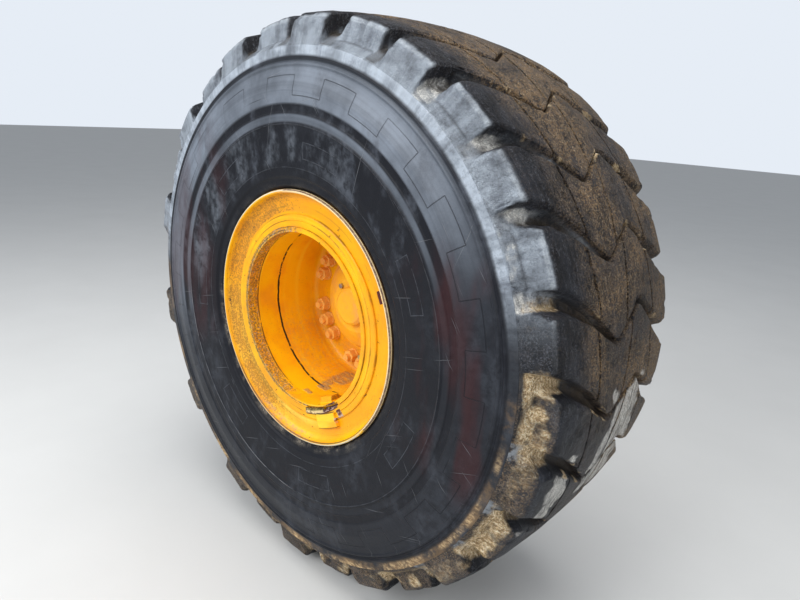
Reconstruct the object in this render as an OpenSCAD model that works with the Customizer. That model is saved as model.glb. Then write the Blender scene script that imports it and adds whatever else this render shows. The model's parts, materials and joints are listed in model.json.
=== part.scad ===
// Driven wheel end of a rigid or articulated hauler: a wide earthmover tyre on a five piece rim,
// bolted to a planetary hub that turns on a fixed axle end.
// Frame: origin in the middle of the axle end's mounting face, +Y inboard along the axle,
// +Z up, so the outer face of the wheel looks along -Y. Millimetres throughout.

/* [Wheel place] */
// Distance from the mounting face to the centre plane of the wheel
mount_to_centre = 400; // [396:1:430]

/* [Tyre] */
// Radius over the middle of the tread
tyre_r = 910; // [900:1:940]
// Radius of the crown's arc across the tread
crown_r = 2400; // [1800:50:4000]
// How far each sidewall bulges out past the rim's width
side_bulge = 58.5; // [52.5:0.5:66.5]
// How far the tread's edges lie inside the sidewalls
tread_inset = 41; // [36:1:50]
// Distance from the top of the tread down to the shoulder ledge
shoulder_h = 110; // [100:1:120]
// Height from the section's widest place to the shoulder ledge
belly_drop = 145; // [130:1:160]
// Depth of the main grooves in the middle of the tread
groove_depth = 30; // [20:1:40]
// Depth of the main grooves at the shoulder
shoulder_depth = 56; // [45:1:64]
// Number of tread pitches round the tyre, an even number
pitches = 28; // [24:2:32]
// Angle of the first tread pitch from +X towards +Z
tread_phase = 11.1; // [0:0.1:12.8]
// Depth of the narrow cuts across the blocks
cut_depth = 16; // [8:1:24]
// Width of the narrow cuts across the blocks
cut_w = 9; // [5:1:16]
// How far the short lugs are set back from the tall ones
short_lug_back = 22; // [12:1:32]
// Thickness from the groove floor to the air chamber
crown_wall = 44; // [34:1:60]
// Thickness of the sidewall where the section is widest
side_wall = 34; // [26:1:44]
// Height of the rub ribs above the sidewall
rib_h = 4; // [2:0.5:6]

/* [Rim] */
// Width of the rim between its flanges
rim_w = 635; // [630:1:640]
// Radius of the bead seats at the flanges
seat_r = 317.5; // [315:0.5:320]
// Height of the flanges above the bead seats
flange_h = 88.9; // [84:0.1:94]
// Thickness of the flange rings
flange_t = 11; // [9:0.5:14]
// Reach of the rolled flange lips outwards from the bead side
lip_reach = 39.5; // [36:0.5:43]
// Depth of the rim base below the bead seats
base_drop = 17.5; // [15.5:0.5:19.5]
// Thickness of the rim base's barrel
barrel_t = 20; // [18:0.5:24]
// Depth of the gutter's end face below the outer lip
gutter_inset = 16; // [12:1:18]
// Depth of the gutter that holds the lock ring
gutter_depth = 13; // [11:0.5:14]
// Length of the gutter's bottom from the rim's end face
gutter_l = 30; // [27:0.5:33]
// Height of the lock ring above the gutter's bottom
lock_ring_h = 24; // [22:0.5:26]
// Length of the bead seat band behind its lip
band_l = 118; // [100:1:130]
// Height of the bead seat band's lip above the bead seats
band_lip_h = 12.5; // [10:0.5:14]
// Angle of the lock ring's split from +X towards +Z
split_angle = -65; // [-180:1:180]
// Width of the lock ring's split
split_w = 16; // [8:1:26]
// Angle that the pry notch takes in the gutter's edge
notch_angle = 32; // [20:1:40]
// Width of the key's plate over the lock ring
key_plate_w = 92; // [70:1:110]
// Height of the key's plate along the radius
key_plate_h = 50; // [42:1:56]
// Width of the boss in the barrel behind the key
key_boss_w = 58; // [40:1:80]

/* [Disc and nuts] */
// Depth of the disc's outer face below the outer lip
disc_inset = 320; // [300:1:340]
// Thickness of the disc
disc_t = 22; // [18:1:28]
// Depth of the disc skirt's edge below the outer lip
skirt_inset = 145; // [120:1:200]
// Thickness of the disc's skirt
skirt_t = 10; // [7:0.5:12]
// Distance of the wheel studs in from the barrel
stud_inset = 55; // [50:1:60]
// Distance between the studs of one group of three
stud_spacing = 58.9; // [55:0.1:64]
// Number of groups of three studs
stud_groups = 6; // [5:1:6]
// Radius of a wheel stud
stud_r = 12; // [10:0.5:13]
// Width of a wheel nut across its flats
nut_flats = 41; // [36:1:46]
// Height of a wheel nut with its collar
nut_h = 30; // [24:1:36]
// How far a stud stands out of its nut
stud_proud = 14; // [6:1:22]

/* [Hub] */
// Distance of the planetary housing in from the wheel studs
housing_room = 46; // [42:1:52]
// Width of the hub's bolting flange outside the wheel studs
hub_flange_w = 29; // [24:1:34]
// Thickness of the hub's bolting flange
hub_flange_t = 28; // [22:1:34]
// How far the planetary housing stands out of the disc
housing_proud = 15; // [8:1:22]
// Height of the planetary cover over its housing
cover_h = 55; // [44:1:64]
// Width of the planetary cover's slope
cover_slope_w = 79; // [68:1:88]
// Width of the cover's flat crown outside the end cap
crown_rim_w = 33; // [26:1:40]
// Height of the end cap on the cover
end_cap_h = 25; // [15:1:30]
// Length of the hub's drum behind its flange
drum_l = 137; // [120:1:140]
// Radius of the hub's drum at its inner end
drum_r = 150; // [140:1:160]

/* [Axle end] */
// Radius of the spindle in the hub
spindle_r = 90; // [80:1:100]
// Radial running clearance of the hub on the spindle
spindle_clearance = 0.05; // [0.03:0.01:0.08]
// Radius of the way for the drive shaft
shaft_way_r = 52; // [44:1:58]
// Radius of the way for the drive shaft through the mounting casting
casting_way_r = 60; // [55:1:66]
// Radius of the brake housing
brake_r = 236; // [225:1:250]
// Length of the brake housing
brake_l = 118; // [100:1:124]
// Distance of the axle casting's boss in from the brake housing's rim
boss_inset = 78; // [71:1:84]
// Distance of the brake ports in from the brake housing's rim
port_inset = 54; // [50:1:59]
// Running gap between the hub's seal ring and the brake housing
seal_gap = 6; // [5.5:0.5:9]
// Radius of the mounting flange
mount_flange_r = 210; // [205:1:225]
// Thickness of the mounting flange
mount_flange_t = 28; // [22:1:34]
// Radius of the circle of mounting holes
mount_circle_r = 180; // [176:1:184]
// Number of mounting holes
mount_holes = 16; // [8:1:20]
// Radius of a mounting hole
mount_hole_r = 11; // [8:0.5:14]
// Radius of the pilot spigot on the mounting face
pilot_r = 110; // [100:1:125]
// Height of the pilot spigot
pilot_h = 14; // [8:1:20]

/* [Hidden] */
// Radii, from the bead seats and from the tread
seat_gap = 0.3;                          // gap between curved faces that sit on each other
lip_r = seat_r + flange_h;
base_r = seat_r - base_drop;
barrel_r = base_r - barrel_t;
gutter_r = base_r - gutter_depth;
lock_ring_r = gutter_r + lock_ring_h;
band_lip_r = seat_r + band_lip_h;
bend = lip_reach - flange_t / 2;         // outer radius of a flange ring's rolled bend
bend_r = lip_r - bend;                   // radius of the bend's centre
stud_circle_r = barrel_r - stud_inset;
hub_r = stud_circle_r - housing_room;
hub_flange_r = stud_circle_r + hub_flange_w;
cover_crown_r = hub_r - cover_slope_w;
end_cap_r = cover_crown_r - crown_rim_w;
ledge_r = tyre_r - shoulder_h;
section_r = ledge_r - belly_drop;
floor_r = tyre_r - groove_depth;

// Places along the axle, from the wheel's centre plane
rim_half_w = rim_w / 2;
section_half_w = rim_half_w + side_bulge;
tread_half_w = section_half_w - tread_inset;
lip_y = -rim_half_w - lip_reach;         // plane of the outer flange lip
flange_face_y = -rim_half_w - flange_t;  // outer face of the outer flange's upright wall
gutter_y = lip_y + gutter_inset;
gutter_end_y = gutter_y + gutter_l;
gutter_slope = 14;                       // length of the slope out of the gutter
band_face_y = gutter_y + 6;
skirt_y = lip_y + skirt_inset;
disc_y = lip_y + disc_inset;             // outer face of the disc
hub_y = disc_y + disc_t;                 // joint face between disc and hub
hub_back_y = hub_y + hub_flange_t;
housing_y = disc_y - housing_proud;
cover_y = housing_y - cover_h;
drum_end_y = hub_back_y + drum_l;
seal_t = 10;                             // thickness of the hub's seal ring
brake_y = drum_end_y + seal_t + seal_gap;
brake_end_y = brake_y + brake_l;
seat_taper = tan(5);                     // slope of the bead seats
seat_l = 79;                             // length of a bead seat

// Angles
pitch = 360 / pitches;
pair = 2 * pitch;
mouth_lean = 0.53;                       // lean of a groove's mouth as a share of the pitch
mouth_angle = 8.8;                       // angle between one lug's step and the next lug
pitch_l = pitch * PI / 180 * tyre_r;
stud_step = stud_spacing / stud_circle_r * 180 / PI;
stud_angles = [for (i = [0:stud_groups - 1]) for (step = [-1:1])
               30 + i * 360 / stud_groups + step * stud_step];

// Turns a profile of [radius, distance along Y] points round the wheel's axis.
module turned(points) {
    rotate([-90, 0, 0]) rotate_extrude($fn = 180) polygon(points);
}
// A round bar along Y between two places.
module bar(r, y0, y1, fn = 64) {
    translate([0, y0, 0]) rotate([-90, 0, 0]) cylinder(r = r, h = y1 - y0, $fn = fn);
}
// Puts what is drawn on the +X side at an angle from +X towards +Z.
module at_angle(a) {
    rotate([0, -a, 0]) children();
}
// The same, moved out to a radius.
module at_polar(a, r) {
    at_angle(a) translate([r, 0, 0]) children();
}
// A bar that follows an outline of [X, Y] points, centred on the XY plane.
module slab(width, points) {
    linear_extrude(height = width, center = true) polygon(points);
}
// Moves what is drawn from the wheel's centre plane to its place on the axle.
module on_wheel() {
    translate([0, -mount_to_centre, 0]) children();
}
function reversed(points) = [for (i = [len(points) - 1:-1:0]) points[i]];
function flipped(points) = [for (p = points) [p[0], -p[1]]];
// Closes a profile that is the same on both sides of the wheel's centre plane.
function closed(outer, middle_out, inner, middle_in) =
    concat(outer, [middle_out], reversed(flipped(outer)), flipped(inner), [middle_in], reversed(inner));
function arc(cr, cy, r, a0, a1, steps) =
    [for (i = [0:steps]) let (a = a0 + (a1 - a0) * i / steps) [cr + r * cos(a), cy + r * sin(a)]];
// A ridge round a sidewall: middle radius, plane it stands on, height and width of its top.
function ridge(r, y, h, w) = [[r - w / 2 - 3, y], [r - w / 2, y - h], [r + w / 2, y - h + 1],
                              [r + w / 2 + 3, y + 2]];

// Tyre
function crown_at(y) = tyre_r - y * y / (2 * crown_r);
function floor_at(y) = crown_at(y) - groove_depth
                       - (shoulder_depth - groove_depth) * pow(abs(y) / tread_half_w, 2);
function seat_at(depth) = seat_r - depth * seat_taper;
// The outer half profile from the bead's toe to the shoulder ledge.
function side_points() = concat([
    [seat_at(seat_l - 3) + seat_gap, -rim_half_w + seat_l - 3],
    [seat_at(6) + seat_gap, -rim_half_w + 6],
    [seat_r + 8, -rim_half_w + seat_gap]],
    arc(bend_r, -rim_half_w - bend, bend + seat_gap, 90, 22.5, 6), [
    [lip_r + 2, -rim_half_w - bend + 6],
    [lip_r + 12, -rim_half_w - bend - 3],
    [lip_r + 30, -rim_half_w - bend - 3],
    [lip_r + 38, -section_half_w + 14],
    [section_r - 105, -section_half_w + 4]],
    ridge(section_r - 62, -section_half_w + 1, 2, 4), [
    [section_r - 33, -section_half_w],
    [section_r - 31, -section_half_w + 2],
    [section_r - 10, -section_half_w + 2],
    [section_r - 8, -section_half_w],
    [ledge_r - 90, -section_half_w + 7]],
    ridge(ledge_r - 48, -section_half_w + 14, rib_h, 6),
    ridge(ledge_r - 32, -section_half_w + 17, rib_h, 6), [
    [ledge_r, -section_half_w + 21]]);
function floor_points() =
    [for (s = [0.94:-0.94/4:0.01]) [floor_at(s * tread_half_w), -s * tread_half_w]];
// The inner half profile from the bead's toe to the middle of the crown.
function liner_points() = [
    [seat_r + 5, -rim_half_w + seat_l + 1],
    [lip_r - 20, -rim_half_w + 52],
    [section_r - 170, -section_half_w + side_wall + 18],
    [section_r, -section_half_w + side_wall],
    [ledge_r - 50, -section_half_w + side_wall + 22],
    [floor_r - crown_wall - 26, -tread_half_w + 75],
    [floor_r - crown_wall - 4, -0.46 * tread_half_w]];
module carcass() {
    turned(closed(concat(side_points(), floor_points()), [floor_r, 0],
                  liner_points(), [floor_r - crown_wall, 0]));
}
// The ring of tread rubber from which the grooves are cut, sunk a little into the carcass.
module tread_band() {
    edge_r = crown_at(tread_half_w);
    half = concat([
        [ledge_r - 16, -section_half_w + 26],
        [ledge_r, -section_half_w + 23],
        [ledge_r + 48, -section_half_w + 33],
        [edge_r - 22, -tread_half_w - 6],
        [edge_r - 5, -tread_half_w + 6]],
        [for (s = [0.9:-0.9/3:0.01]) [crown_at(s * tread_half_w), -s * tread_half_w]]);
    under = [[ledge_r - 8, -tread_half_w + 20],
             [floor_at(tread_half_w) - 12, -0.82 * tread_half_w],
             [floor_r - 24, -0.46 * tread_half_w]];
    turned(closed(half, [tyre_r, 0], under, [floor_r - 16, 0]));
}
// Path of a main groove across half the tread.
// Columns: place as a share of the half width, lean as a share of the pitch, half width in mm.
groove_path = [[1.12, 0.56, 44], [0.97, 0.53, 38], [0.82, 0.464, 28], [0.675, 0.327, 26], [0.525, 0.18, 23],
               [0.376, -0.02, 17], [0.24, -0.175, 9], [0.19, -0.186, 7]];
function groove_t(row) = row[1] * pitch_l;
function groove_outline() = let (near = groove_path, last = len(near) - 1) concat(
    [for (i = [0:last]) [-groove_t(near[i]) - near[i][2], -near[i][0] * tread_half_w]],
    [for (i = [last:-1:0]) [groove_t(near[i]) - near[i][2], near[i][0] * tread_half_w]],
    [for (i = [0:last]) [groove_t(near[i]) + near[i][2], near[i][0] * tread_half_w]],
    [for (i = [last:-1:0]) [-groove_t(near[i]) + near[i][2], -near[i][0] * tread_half_w]]);
// Extrudes an outline of [-tangential, axial] points outwards from a radius.
module radial(r0, h) {
    translate([r0, 0, 0]) rotate([0, 90, 0]) linear_extrude(height = h) children();
}
// The narrow cuts across one pitch of blocks.
// Columns: angle as a share of the pitch, place as a share of the half width, lean in mm,
// length as a share of the pitch.
block_cuts = [[-0.34, -0.48, -10, 0.86], [-0.5, 0, 18, 0.97], [0.34, 0.48, -10, 0.86]];
module cut(row) {
    y = row[1] * tread_half_w;
    l = row[3] * pitch_l;
    at_angle(row[0] * pitch) radial(crown_at(y) - cut_depth, 3 * cut_depth)
        polygon([[-l / 2, y - row[2] - cut_w / 2], [-l / 2, y - row[2] + cut_w / 2],
                 [l / 2, y + row[2] + cut_w / 2], [l / 2, y + row[2] - cut_w / 2]]);
}
module grooves() {
    for (i = [0:pitches - 1]) at_angle(tread_phase + i * pitch) {
        radial(ledge_r - 40, tyre_r - ledge_r + 80) polygon(groove_outline());
        for (row = block_cuts) cut(row);
    }
}
// Takes the outer end off one short lug, down to the shoulder ledge.
module lug_step(side) {
    half_l = (pair - mouth_angle) / 2 * PI / 180 * (ledge_r + 40);
    face = tread_half_w - short_lug_back;
    beyond = section_half_w + 20;
    slab(2 * half_l, [[ledge_r - 30, side * (face + 12)], [tyre_r + 10, side * (face - 2)],
                      [tyre_r + 10, side * beyond], [ledge_r - 30, side * beyond]]);
}
// The lugs are short on the outer side after even grooves and on the inner side before them.
module lug_steps() {
    for (i = [0:2:pitches - 2]) {
        at_angle(tread_phase + (i + mouth_lean + 0.5) * pitch) lug_step(-1);
        at_angle(tread_phase + (i - mouth_lean - 0.5) * pitch) lug_step(1);
    }
}
module tyre() color([0.10, 0.105, 0.115]) on_wheel() {
    carcass();
    difference() {
        tread_band();
        grooves();
        lug_steps();
    }
}

// Rim
// The notch in the gutter's edge where a bar is put in to lift the lock ring.
module pry_notch() {
    reach = 2 * lock_ring_r;
    half = notch_angle / 2;
    intersection() {
        turned([[barrel_r + 2, gutter_y - 5], [base_r - 7, gutter_y - 5],
                [base_r - 7, gutter_y + 13], [barrel_r + 2, gutter_y + 13]]);
        at_angle(split_angle) rotate([90, 0, 0]) linear_extrude(height = 2 * rim_w, center = true)
            polygon([[0, 0], [reach * cos(half), reach * sin(half)], [reach, 0],
                     [reach * cos(half), -reach * sin(half)]]);
    }
}
module rim_base() color([0.93, 0.60, 0.09]) on_wheel() {
    back_y = -lip_y;
    rebate_r = barrel_r + skirt_t + seat_gap;
    difference() {
        turned([
            [barrel_r - 3, gutter_y], [gutter_r + 4.5, gutter_y], [gutter_r + 4.5, gutter_y + 7],
            [gutter_r, gutter_y + 8.5], [gutter_r, gutter_end_y], [base_r, gutter_end_y + gutter_slope],
            [base_r, rim_half_w - seat_l - 12], [seat_at(seat_l), rim_half_w - seat_l],
            [seat_r, rim_half_w - 1], [seat_r + 2, rim_half_w + flange_t + 1],
            [seat_r + 14, rim_half_w + flange_t + 4], [seat_r + 14, back_y - 12], [seat_r + 6, back_y - 8],
            [barrel_r, back_y - 8], [barrel_r, disc_y + disc_t + 18], [rebate_r, disc_y + disc_t + 10],
            [rebate_r, skirt_y], [barrel_r, skirt_y], [barrel_r, gutter_end_y + gutter_slope + 1],
            [barrel_r - 3, gutter_end_y + gutter_slope - 2]]);
        pry_notch();
    }
    key_boss();
}
// The boss inside the barrel that backs the key.
module key_boss() {
    rise = 24;
    at_angle(split_angle) slab(key_boss_w, [
        [barrel_r - 4, gutter_y + 16], [barrel_r + 3, gutter_y + 16], [barrel_r + 3, gutter_y + 62],
        [barrel_r - 8, gutter_y + 66], [barrel_r - rise, gutter_y + 50], [barrel_r - rise, gutter_y + 24]]);
}
// A loose flange ring: upright wall, rolled lip with a round edge.
module flange_ring() {
    y0 = -rim_half_w;
    inner_r = seat_r + 2.5;
    turned(concat(
        [[inner_r, y0], [inner_r, y0 - flange_t]],
        arc(bend_r, y0 - bend, bend - flange_t, 90, 0, 6),
        arc(lip_r - flange_t / 2, y0 - bend, flange_t / 2, 180, 360, 6),
        arc(bend_r, y0 - bend, bend, 0, 90, 8)));
}
module outer_flange() color([0.95, 0.62, 0.10]) on_wheel() flange_ring();
module inner_flange() color([0.95, 0.62, 0.10]) on_wheel() mirror([0, 1, 0]) flange_ring();
module bead_seat_band() color([0.97, 0.68, 0.10]) on_wheel() {
    back_y = -rim_half_w + band_l;
    bore_r = lock_ring_r + 0.4;
    turned([
        [bore_r, band_face_y], [band_lip_r - 3, band_face_y], [band_lip_r, band_face_y + 2],
        [band_lip_r, flange_face_y - seat_gap], [seat_r + 2, flange_face_y - seat_gap],
        [seat_r, -rim_half_w + 1], [seat_at(seat_l), -rim_half_w + seat_l], [seat_at(seat_l), back_y - 3],
        [seat_r - 10, back_y], [base_r + seat_gap, back_y],
        [base_r + seat_gap, gutter_end_y + gutter_slope + 2], [lock_ring_r - 1, gutter_y + 20],
        [bore_r, gutter_y + 17]]);
}
// The split lock ring in the gutter.
module lock_ring() color([0.90, 0.56, 0.08]) on_wheel() difference() {
    turned([
        [gutter_r + seat_gap, gutter_y + 9.5], [gutter_r + 5, gutter_y + 8], [gutter_r + 5.5, gutter_y + 4],
        [lock_ring_r - 2, gutter_y + 4], [lock_ring_r, band_face_y], [lock_ring_r, gutter_y + 16.5],
        [lock_ring_r - 2.5, gutter_y + 20], [base_r, gutter_end_y + gutter_slope - 4],
        [gutter_r + seat_gap + 1, gutter_end_y - 0.5]]);
    at_angle(split_angle) slab(split_w, [
        [gutter_r, gutter_y - 1], [lock_ring_r + 5, gutter_y - 1],
        [lock_ring_r + 5, gutter_end_y + gutter_slope], [gutter_r, gutter_end_y + gutter_slope]]);
}
// The key that fills the split, with a plate that lies on the bead seat band's lip and the flange.
module lock_ring_key() color([0.93, 0.62, 0.12]) on_wheel() at_angle(split_angle) {
    plate_r = lock_ring_r - 7;
    slab(split_w - 2 * seat_gap, [
        [gutter_r + 6, gutter_y + 3], [lock_ring_r - 2, gutter_y + 3],
        [lock_ring_r - 2, gutter_y + 15], [gutter_r + 6, gutter_y + 15]]);
    slab(key_plate_w, [
        [plate_r, gutter_y + 1], [plate_r + 2, gutter_y - 1],
        [plate_r + key_plate_h - 4, gutter_y - 1], [plate_r + key_plate_h, gutter_y + 3],
        [plate_r + key_plate_h, flange_face_y], [band_lip_r + seat_gap, flange_face_y],
        [band_lip_r + seat_gap, band_face_y], [lock_ring_r + 0.4, band_face_y],
        [lock_ring_r + 0.4, gutter_y + 4 - seat_gap], [plate_r, gutter_y + 4 - seat_gap]]);
}

// Disc and fastenings
module wheel_disc() color([0.93, 0.58, 0.09]) on_wheel() difference() {
    corner = 22;
    out = barrel_r + skirt_t;
    turned(concat(
        [[out, skirt_y + 2], [barrel_r, skirt_y + 2]],
        arc(barrel_r - corner, disc_y - corner, corner, 0, 90, 6),
        [[hub_r + seat_gap, disc_y], [hub_r + seat_gap, hub_y], [out - 14, hub_y], [out, hub_y - 12]]));
    for (a = stud_angles) at_polar(a, stud_circle_r) bar(stud_r + 1, disc_y - 10, hub_y + 10);
}
module wheel_studs() color([0.72, 0.66, 0.55]) on_wheel() for (a = stud_angles)
    at_polar(a, stud_circle_r) {
        bar(stud_r, disc_y - nut_h - stud_proud, hub_back_y + 4);
        bar(stud_r + 5, hub_back_y, hub_back_y + 10);
    }
module wheel_nuts() color([0.90, 0.56, 0.12]) on_wheel() for (a = stud_angles)
    at_polar(a, stud_circle_r) difference() {
        union() {
            bar(nut_flats * 0.62, disc_y - 6, disc_y);
            bar(nut_flats / sqrt(3), disc_y - nut_h, disc_y - 5, 6);
        }
        bar(stud_r + seat_gap, disc_y - nut_h - 5, disc_y + 5);
    }

// Valve in the barrel
module at_valve() {
    at_polar(-12, barrel_r - 26) children();
}
module valve_stem() color([0.70, 0.58, 0.30]) on_wheel() at_valve() {
    bar(6, skirt_y - 86, skirt_y - 18, 32);
    translate([0, skirt_y - 24, 0]) rotate([0, 90, 0]) {
        cylinder(r = 6, h = 18, $fn = 32);
        translate([0, 0, 17]) cylinder(r = 11, h = 8.7, $fn = 6);
    }
}
module valve_cap() color([0.75, 0.60, 0.25]) on_wheel() at_valve()
    bar(7.5, skirt_y - 104, skirt_y - 86, 32);

// Hub
module hub_drum() color([0.92, 0.58, 0.10]) on_wheel() difference() {
    turned([[0, housing_y], [hub_r - 1, housing_y], [hub_r, housing_y + 1], [hub_r, hub_y],
            [hub_flange_r, hub_y], [hub_flange_r, hub_back_y], [hub_r + 12, hub_back_y],
            [hub_r - 4, hub_back_y + 18], [drum_r, drum_end_y - 40], [drum_r, drum_end_y],
            [0, drum_end_y]]);
    bar(spindle_r + spindle_clearance, hub_y - 2, drum_end_y + 5, 128);
    for (a = stud_angles) at_polar(a, stud_circle_r) bar(stud_r + seat_gap, hub_y - 10, hub_back_y + 5);
}
module seal_ring() color([0.45, 0.42, 0.38]) on_wheel() turned([
    [spindle_r + 8, drum_end_y], [drum_r - 8, drum_end_y], [drum_r - 8, drum_end_y + seal_t],
    [spindle_r + 8, drum_end_y + seal_t]]);
module planet_cover() color([0.95, 0.60, 0.10]) on_wheel() turned([
    [0, housing_y], [0, cover_y], [cover_crown_r - 6, cover_y], [cover_crown_r + 10, cover_y + 6],
    [cover_crown_r + 50, cover_y + 25], [hub_r - 14, housing_y - 10], [hub_r - 8, housing_y - 8],
    [hub_r - 8, housing_y]]);
module end_cap() color([0.95, 0.62, 0.12]) on_wheel() turned([
    [0, cover_y], [0, cover_y - end_cap_h], [end_cap_r - 12, cover_y - end_cap_h],
    [end_cap_r - 3, cover_y - end_cap_h + 6], [end_cap_r, cover_y - end_cap_h + 12], [end_cap_r, cover_y]]);
// The filling and drain plugs in the cover.
module cover_plugs() color([0.55, 0.45, 0.30]) on_wheel() for (a = [136, -44])
    at_polar(a, end_cap_r + crown_rim_w / 2) bar(9, cover_y - 8, cover_y, 6);

// Axle end
module spindle() color([0.50, 0.48, 0.45]) on_wheel() difference() {
    bar(spindle_r, hub_y + 4, brake_end_y, 128);
    bar(shaft_way_r, hub_y, brake_end_y + 5, 96);
}
module brake_housing() color([0.90, 0.57, 0.10]) on_wheel() difference() {
    turned([[0, brake_y], [drum_r + 10, brake_y], [brake_r - 14, brake_y + 16], [brake_r - 14, brake_y + 30],
            [brake_r, brake_y + 34], [brake_r, brake_y + 62], [brake_r - 14, brake_y + 66],
            [brake_r - 14, brake_end_y - 20], [brake_r - 30, brake_end_y], [0, brake_end_y]]);
    bar(spindle_r + seat_gap, brake_y - 5, brake_end_y + 5, 128);
}
module brake_ports() color([0.55, 0.52, 0.48]) on_wheel() for (a = [70, 110])
    at_polar(a, brake_r - port_inset) bar(16, brake_end_y, brake_end_y + 14, 6);
module axle_flange() color([0.91, 0.58, 0.10]) on_wheel() difference() {
    face_y = mount_to_centre;
    plate_y = face_y - mount_flange_t;
    neck_r = pilot_r + 24;
    boss_r = brake_r - boss_inset;
    turned([[0, brake_end_y], [boss_r, brake_end_y], [boss_r, brake_end_y + 14],
            [neck_r, brake_end_y + 24], [neck_r, plate_y - 14], [neck_r + 10, plate_y],
            [mount_flange_r, plate_y], [mount_flange_r, face_y], [pilot_r, face_y],
            [pilot_r, face_y + pilot_h - 2], [pilot_r - 2, face_y + pilot_h], [0, face_y + pilot_h]]);
    bar(casting_way_r, brake_end_y - 5, face_y + pilot_h + 5, 96);
    for (i = [0:mount_holes - 1]) at_polar((i + 0.5) * 360 / mount_holes, mount_circle_r)
        bar(mount_hole_r, plate_y - 5, face_y + 5, 48);
}

tyre();
rim_base();
outer_flange();
inner_flange();
bead_seat_band();
lock_ring();
lock_ring_key();
wheel_disc();
wheel_studs();
wheel_nuts();
hub_drum();
seal_ring();
planet_cover();
end_cap();
cover_plugs();
valve_stem();
valve_cap();
spindle();
brake_housing();
brake_ports();
axle_flange();
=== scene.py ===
"""A hauler's wheel end, dressed: worn earthmover tyre, amber five piece rim, planetary hub, axle end.

Everything is in metres in the row's frame: +Y inboard along the axle, +Z up, the wheel's centre
plane at Y = WHEEL_Y. Places on the wheel are given as an angle from +X towards +Z, a radius from
the axle and a place along the axle from the wheel's centre plane.
"""
import json
import math
from functools import partialmethod

import bpy
import numpy as np
from mathutils import Matrix, Vector

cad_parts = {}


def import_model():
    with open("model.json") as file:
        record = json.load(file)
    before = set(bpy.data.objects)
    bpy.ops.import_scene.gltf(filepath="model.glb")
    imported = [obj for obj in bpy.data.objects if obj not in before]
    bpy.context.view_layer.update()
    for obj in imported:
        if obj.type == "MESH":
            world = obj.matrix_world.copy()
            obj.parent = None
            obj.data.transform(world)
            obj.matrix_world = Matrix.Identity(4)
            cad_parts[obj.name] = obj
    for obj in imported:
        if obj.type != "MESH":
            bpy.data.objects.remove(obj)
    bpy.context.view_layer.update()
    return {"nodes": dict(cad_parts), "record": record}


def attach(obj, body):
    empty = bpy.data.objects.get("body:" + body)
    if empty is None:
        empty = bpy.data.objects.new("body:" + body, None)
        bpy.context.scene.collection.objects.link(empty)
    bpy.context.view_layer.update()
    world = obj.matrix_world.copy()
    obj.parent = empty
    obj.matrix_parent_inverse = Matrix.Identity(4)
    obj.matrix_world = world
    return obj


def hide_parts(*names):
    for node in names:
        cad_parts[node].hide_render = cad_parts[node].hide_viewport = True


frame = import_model()

WHEEL_Y = -0.400             # the wheel's centre plane
TYRE_R = 0.910               # over the middle of the tread
FLOOR_Z = -TYRE_R

# Tyre, as in the part's sizes
CROWN_R = 2.400              # arc of the crown across the tread
SECTION_HALF_W = 0.376
TREAD_HALF_W = 0.335
SECTION_R = 0.655            # where the section is widest
LEDGE_R = 0.800              # outer edge of the shoulder ledge
LIP_R = 0.4064
RIM_HALF_W = 0.3175
SEAT_R = 0.3175
BEND = 0.034                 # outer radius of a flange's rolled bend
GROOVE_DEPTH = 0.030
SHOULDER_DEPTH = 0.056
CUT_DEPTH = 0.014
CUT_W = 0.007
PITCHES = 28
TREAD_PHASE = math.radians(11.1)
PITCH = 2 * math.pi / PITCHES

# Path of a main groove across half the tread.
# Columns: place as a share of the half width, lean as a share of the pitch, half width in metres.
GROOVE_PATH = np.array([(1.12, 0.56, 0.042), (0.97, 0.53, 0.036), (0.82, 0.464, 0.027),
                        (0.675, 0.327, 0.025), (0.525, 0.18, 0.022), (0.376, -0.02, 0.016),
                        (0.24, -0.175, 0.008), (0.19, -0.186, 0.006)])[::-1]
# The narrow cuts: place as a share of the half width, lean along the axle in metres.
BLOCK_CUTS = ((-0.48, -0.010), (0.0, 0.018), (0.48, -0.010))
# Plain rows of points across half the tread, as shares of its width.
PLAIN_ROWS = (*np.linspace(-0.86, -0.56, 9), *np.linspace(-0.40, -0.09, 9), -0.82, -0.675, -0.525, -0.43,
              -0.24, -0.19)
# Across a cut: place in half widths of the cut, share of its depth.
CUT_PROFILE = ((-1.7, 0.0), (-1.1, 0.06), (-0.9, 0.5), (-0.62, 1.0), (0.62, 1.0), (0.9, 0.5), (1.1, 0.06),
               (1.7, 0.0))
ROW_GAP = 0.006              # least share of the half width between two plain rows
EDGE_ROUND = 0.0032          # from a block's wall to its flat top
CASING_COLUMNS = 360
INSIDE_GAP = 0.0003          # how far the visible tyre stays inside the CAD tyre

LATTICE_PRIMES = np.array((374761393, 668265263, 2147483647))
LOW_31_BITS = 0x7FFFFFFF


# Noise on points, worked out from sums of hashed lattices
def lattice_noise(points, scale, seed):
    """Smooth value noise from 0 to 1 at points, with features of about scale metres."""
    q = points / scale
    cell = np.floor(q).astype(np.int64)
    t = q - cell
    t = t * t * (3 - 2 * t)
    total = np.zeros(points.shape[:-1])
    for corner in range(8):
        bits = np.array([(corner >> k) & 1 for k in range(3)])
        h = ((cell + bits) @ LATTICE_PRIMES + seed * 974711) & LOW_31_BITS
        h = ((h ^ (h >> 13)) * 1274126177) & LOW_31_BITS
        value = ((h ^ (h >> 16)) & 0xFFFF) / 65535.0
        total += value * np.prod(np.where(bits, t, 1 - t), axis=-1)
    return total


def cloud(points, scale, octaves, seed):
    """Fractal noise from about 0 to 1."""
    total, amount, norm = np.zeros(points.shape[:-1]), 1.0, 0.0
    for k in range(octaves):
        total += amount * lattice_noise(points, scale, seed + 17 * k)
        norm += amount
        scale *= 0.5
        amount *= 0.5
    return total / norm


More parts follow.
